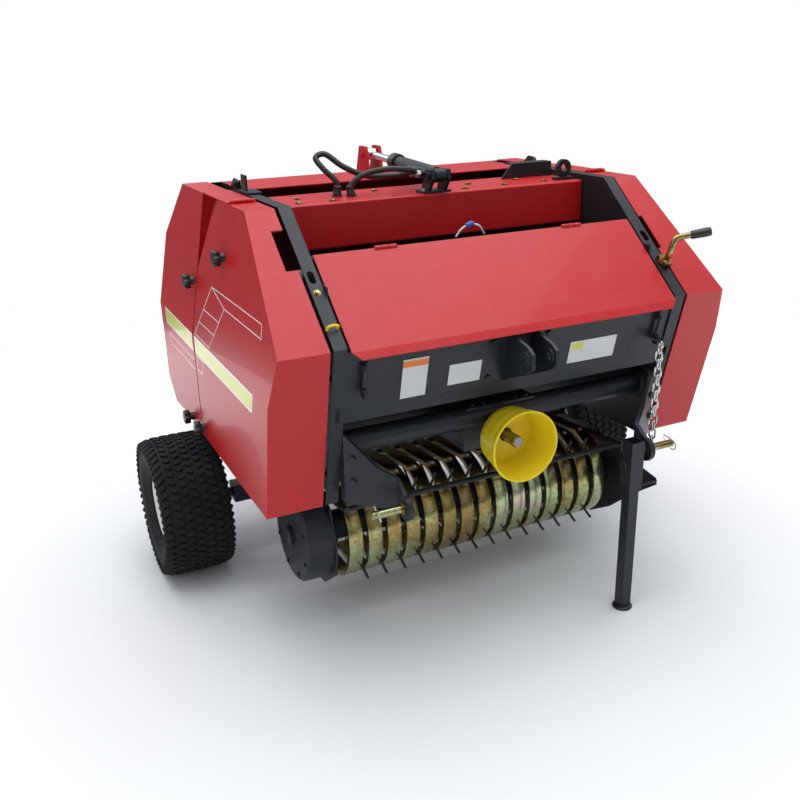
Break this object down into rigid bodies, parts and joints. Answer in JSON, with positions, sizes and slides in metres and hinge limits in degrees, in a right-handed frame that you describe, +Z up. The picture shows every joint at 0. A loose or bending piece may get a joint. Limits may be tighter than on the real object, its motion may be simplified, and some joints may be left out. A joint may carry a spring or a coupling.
{
  "type": "mini round baler",
  "caption": "Towed mini round baler with hinged covers, opening tailgate with rollers, tine pickup, guarded power shaft, turf wheels and a front parking stand.",
  "frame": {"origin": "on the floor under the middle of the machine's box", "axes": "+X across towards the side that carries the parking stand, +Y from the tractor hitch towards the tailgate, +Z up"},
  "size_m": [1.758, 1.328, 1.3355],
  "materials": {
    "red_paint": "glossy red paint on sheet steel",
    "charcoal_paint": "semi-gloss charcoal paint",
    "yellow_zinc": "yellow zinc plating with an iridescent sheen",
    "bright_zinc": "bright zinc plating",
    "yellow_plastic": "moulded yellow plastic",
    "white_paint": "white paint",
    "tyre": "black rubber with turf tread",
    "hose_rubber": "black braided hydraulic hose",
    "bare_steel": "bare steel",
    "chrome": "hard chrome rod"
  },
  "bodies": {
    "frame": {"side_frame_left": "charcoal_paint", "side_frame_right": "charcoal_paint", "hitch_plate_left": "charcoal_paint", "hitch_plate_right": "charcoal_paint", "lower_pin_left": "yellow_zinc", "lower_pin_right": "yellow_zinc", "front_panel": "charcoal_paint", "cross_tube": "charcoal_paint", "gearbox": "charcoal_paint", "top_beam": "red_paint", "twine_box": "charcoal_paint", "lid_rail": "charcoal_paint", "pto_guard": "yellow_plastic", "stand_sleeve": "charcoal_paint", "axle_beam": "charcoal_paint", "lifting_eye": "charcoal_paint", "left_lug": "charcoal_paint", "top_bracket": "charcoal_paint", "cylinder_bracket": "charcoal_paint", "crank_handle": "yellow_zinc", "twine_pulley": "white_paint", "chain": "bright_zinc", "hose_left": "hose_rubber", "hose_right": "hose_rubber"},
    "tailgate": {"tailgate_side_left": "charcoal_paint", "tailgate_side_right": "charcoal_paint", "tailgate_panel": "red_paint"},
    "cylinder": {"cylinder_barrel": "bare_steel"},
    "rod": {"cylinder_rod": "chrome"},
    "front_door_left": {"front_door_left": "red_paint"},
    "front_door_right": {"front_door_right": "red_paint"},
    "flap_left": {"top_flap_left": "red_paint"},
    "flap_right": {"top_flap_right": "red_paint"},
    "rear_door_left": {"rear_door_left": "red_paint"},
    "rear_door_right": {"rear_door_right": "red_paint"},
    "lid": {"front_lid": "red_paint"},
    "wheel_left": {"tyre_left": "tyre", "rim_left": "white_paint"},
    "wheel_right": {"tyre_right": "tyre", "rim_right": "white_paint"},
    "pickup": {"pickup_strips": "yellow_zinc", "pickup_side_left": "charcoal_paint", "pickup_side_right": "charcoal_paint", "wind_guard": "charcoal_paint"},
    "reel": {"pickup_reel": "charcoal_paint"},
    "pto": {"pto_shaft": "bare_steel"},
    "stand": {"stand_leg": "charcoal_paint"},
    "frame_roller_1": {"frame_roller_1": "bare_steel"},
    "frame_roller_2": {"frame_roller_2": "bare_steel"},
    "frame_roller_3": {"frame_roller_3": "bare_steel"},
    "frame_roller_4": {"frame_roller_4": "bare_steel"},
    "tailgate_roller_1": {"tailgate_roller_1": "bare_steel"},
    "tailgate_roller_2": {"tailgate_roller_2": "bare_steel"},
    "tailgate_roller_3": {"tailgate_roller_3": "bare_steel"},
    "tailgate_roller_4": {"tailgate_roller_4": "bare_steel"},
    "tailgate_roller_5": {"tailgate_roller_5": "bare_steel"},
    "tailgate_roller_6": {"tailgate_roller_6": "bare_steel"}
  },
  "joints": [
    {"name": "tailgate_hinge", "type": "hinge", "parent": "frame", "child": "tailgate", "pos_m": [0, 0.199, 1.243], "axis": [1, 0, 0], "range_deg": [0, 55]},
    {"name": "cylinder_tilt", "type": "hinge", "parent": "frame", "child": "cylinder", "pos_m": [-0.012, -0.116, 1.262], "axis": [1, 0, 0], "range_deg": [0, 18.38]},
    {"name": "rod_slide", "type": "slide", "parent": "cylinder", "child": "rod", "axis": [0, 0.9989, 0.0479], "range_m": [-0.09745, 0]},
    {"name": "lid_hinge", "type": "hinge", "parent": "frame", "child": "lid", "pos_m": [0, -0.344, 1.1195], "axis": [-1, 0, 0], "range_deg": [0, 105]},
    {"name": "pickup_lift", "type": "hinge", "parent": "frame", "child": "pickup", "pos_m": [0, -0.031, 0.4], "axis": [-1, 0, 0], "range_deg": [0, 6]},
    {"name": "reel_spin", "type": "hinge", "parent": "pickup", "child": "reel", "pos_m": [0, -0.226, 0.288], "axis": [1, 0, 0], "continuous": true},
    {"name": "pto_spin", "type": "hinge", "parent": "frame", "child": "pto", "pos_m": [0, -0.466, 0.583], "axis": [0, 1, 0], "continuous": true},
    {"name": "stand_slide", "type": "slide", "parent": "frame", "child": "stand", "axis": [0, 0, 1], "range_m": [0, 0.28]},
    {"name": "wheel_left_spin", "type": "hinge", "parent": "frame", "child": "wheel_left", "pos_m": [-0.771, 0.258, 0.2286], "axis": [1, 0, 0], "continuous": true},
    {"name": "front_door_left_hinge", "type": "hinge", "parent": "frame", "child": "front_door_left", "pos_m": [-0.5515, -0.4617, 0.56], "axis": [0, -0.2475, 0.9689], "range_deg": [0, 95]},
    {"name": "rear_door_left_hinge", "type": "hinge", "parent": "tailgate", "child": "rear_door_left", "pos_m": [-0.5515, 0.6555, 0.58], "axis": [0, 0, -1], "range_deg": [0, 95]},
    {"name": "top_flap_left_hinge", "type": "hinge", "parent": "front_door_left", "child": "flap_left", "pos_m": [-0.583, -0.0655, 1.2292], "axis": [1, 0, 0], "range_deg": [0, 80]},
    {"name": "wheel_right_spin", "type": "hinge", "parent": "frame", "child": "wheel_right", "pos_m": [0.771, 0.258, 0.2286], "axis": [1, 0, 0], "continuous": true},
    {"name": "front_door_right_hinge", "type": "hinge", "parent": "frame", "child": "front_door_right", "pos_m": [0.5515, -0.4617, 0.56], "axis": [0, 0.2475, -0.9689], "range_deg": [0, 95]},
    {"name": "rear_door_right_hinge", "type": "hinge", "parent": "tailgate", "child": "rear_door_right", "pos_m": [0.5515, 0.6555, 0.58], "axis": [0, 0, 1], "range_deg": [0, 95]},
    {"name": "top_flap_right_hinge", "type": "hinge", "parent": "front_door_right", "child": "flap_right", "pos_m": [0.583, -0.0655, 1.2292], "axis": [1, 0, 0], "range_deg": [0, 80]},
    {"name": "frame_roller_1_spin", "type": "hinge", "parent": "frame", "child": "frame_roller_1", "pos_m": [0, -0.04042, 0.99215], "axis": [1, 0, 0], "continuous": true},
    {"name": "frame_roller_2_spin", "type": "hinge", "parent": "frame", "child": "frame_roller_2", "pos_m": [0, -0.09972, 0.8292], "axis": [1, 0, 0], "continuous": true},
    {"name": "frame_roller_3_spin", "type": "hinge", "parent": "frame", "child": "frame_roller_3", "pos_m": [0, -0.06961, 0.65842], "axis": [1, 0, 0], "continuous": true},
    {"name": "frame_roller_4_spin", "type": "hinge", "parent": "frame", "child": "frame_roller_4", "pos_m": [0, 0.11942, 0.4852], "axis": [1, 0, 0], "continuous": true},
    {"name": "tailgate_roller_1_spin", "type": "hinge", "parent": "tailgate", "child": "tailgate_roller_1", "pos_m": [0, 0.29217, 0.47009], "axis": [1, 0, 0], "continuous": true},
    {"name": "tailgate_roller_2_spin", "type": "hinge", "parent": "tailgate", "child": "tailgate_roller_2", "pos_m": [0, 0.44933, 0.54338], "axis": [1, 0, 0], "continuous": true},
    {"name": "tailgate_roller_3_spin", "type": "hinge", "parent": "tailgate", "child": "tailgate_roller_3", "pos_m": [0, 0.5488, 0.68542], "axis": [1, 0, 0], "continuous": true},
    {"name": "tailgate_roller_4_spin", "type": "hinge", "parent": "tailgate", "child": "tailgate_roller_4", "pos_m": [0, 0.56391, 0.85817], "axis": [1, 0, 0], "continuous": true},
    {"name": "tailgate_roller_5_spin", "type": "hinge", "parent": "tailgate", "child": "tailgate_roller_5", "pos_m": [0, 0.49062, 1.01533], "axis": [1, 0, 0], "continuous": true},
    {"name": "tailgate_roller_6_spin", "type": "hinge", "parent": "tailgate", "child": "tailgate_roller_6", "pos_m": [0, 0.34858, 1.1148], "axis": [1, 0, 0], "continuous": true}
  ],
  "couplings": [
    {"joint": "cylinder_tilt", "follows": "tailgate_hinge", "ratio": 0.334},
    {"joint": "rod_slide", "follows": "tailgate_hinge", "m_per_rad": -0.101},
    {"joint": "frame_roller_2_spin", "follows": "frame_roller_1_spin", "ratio": 1},
    {"joint": "frame_roller_3_spin", "follows": "frame_roller_1_spin", "ratio": 1},
    {"joint": "frame_roller_4_spin", "follows": "frame_roller_1_spin", "ratio": 1},
    {"joint": "tailgate_roller_1_spin", "follows": "frame_roller_1_spin", "ratio": 1},
    {"joint": "tailgate_roller_2_spin", "follows": "frame_roller_1_spin", "ratio": 1},
    {"joint": "tailgate_roller_3_spin", "follows": "frame_roller_1_spin", "ratio": 1},
    {"joint": "tailgate_roller_4_spin", "follows": "frame_roller_1_spin", "ratio": 1},
    {"joint": "tailgate_roller_5_spin", "follows": "frame_roller_1_spin", "ratio": 1},
    {"joint": "tailgate_roller_6_spin", "follows": "frame_roller_1_spin", "ratio": 1}
  ]
}
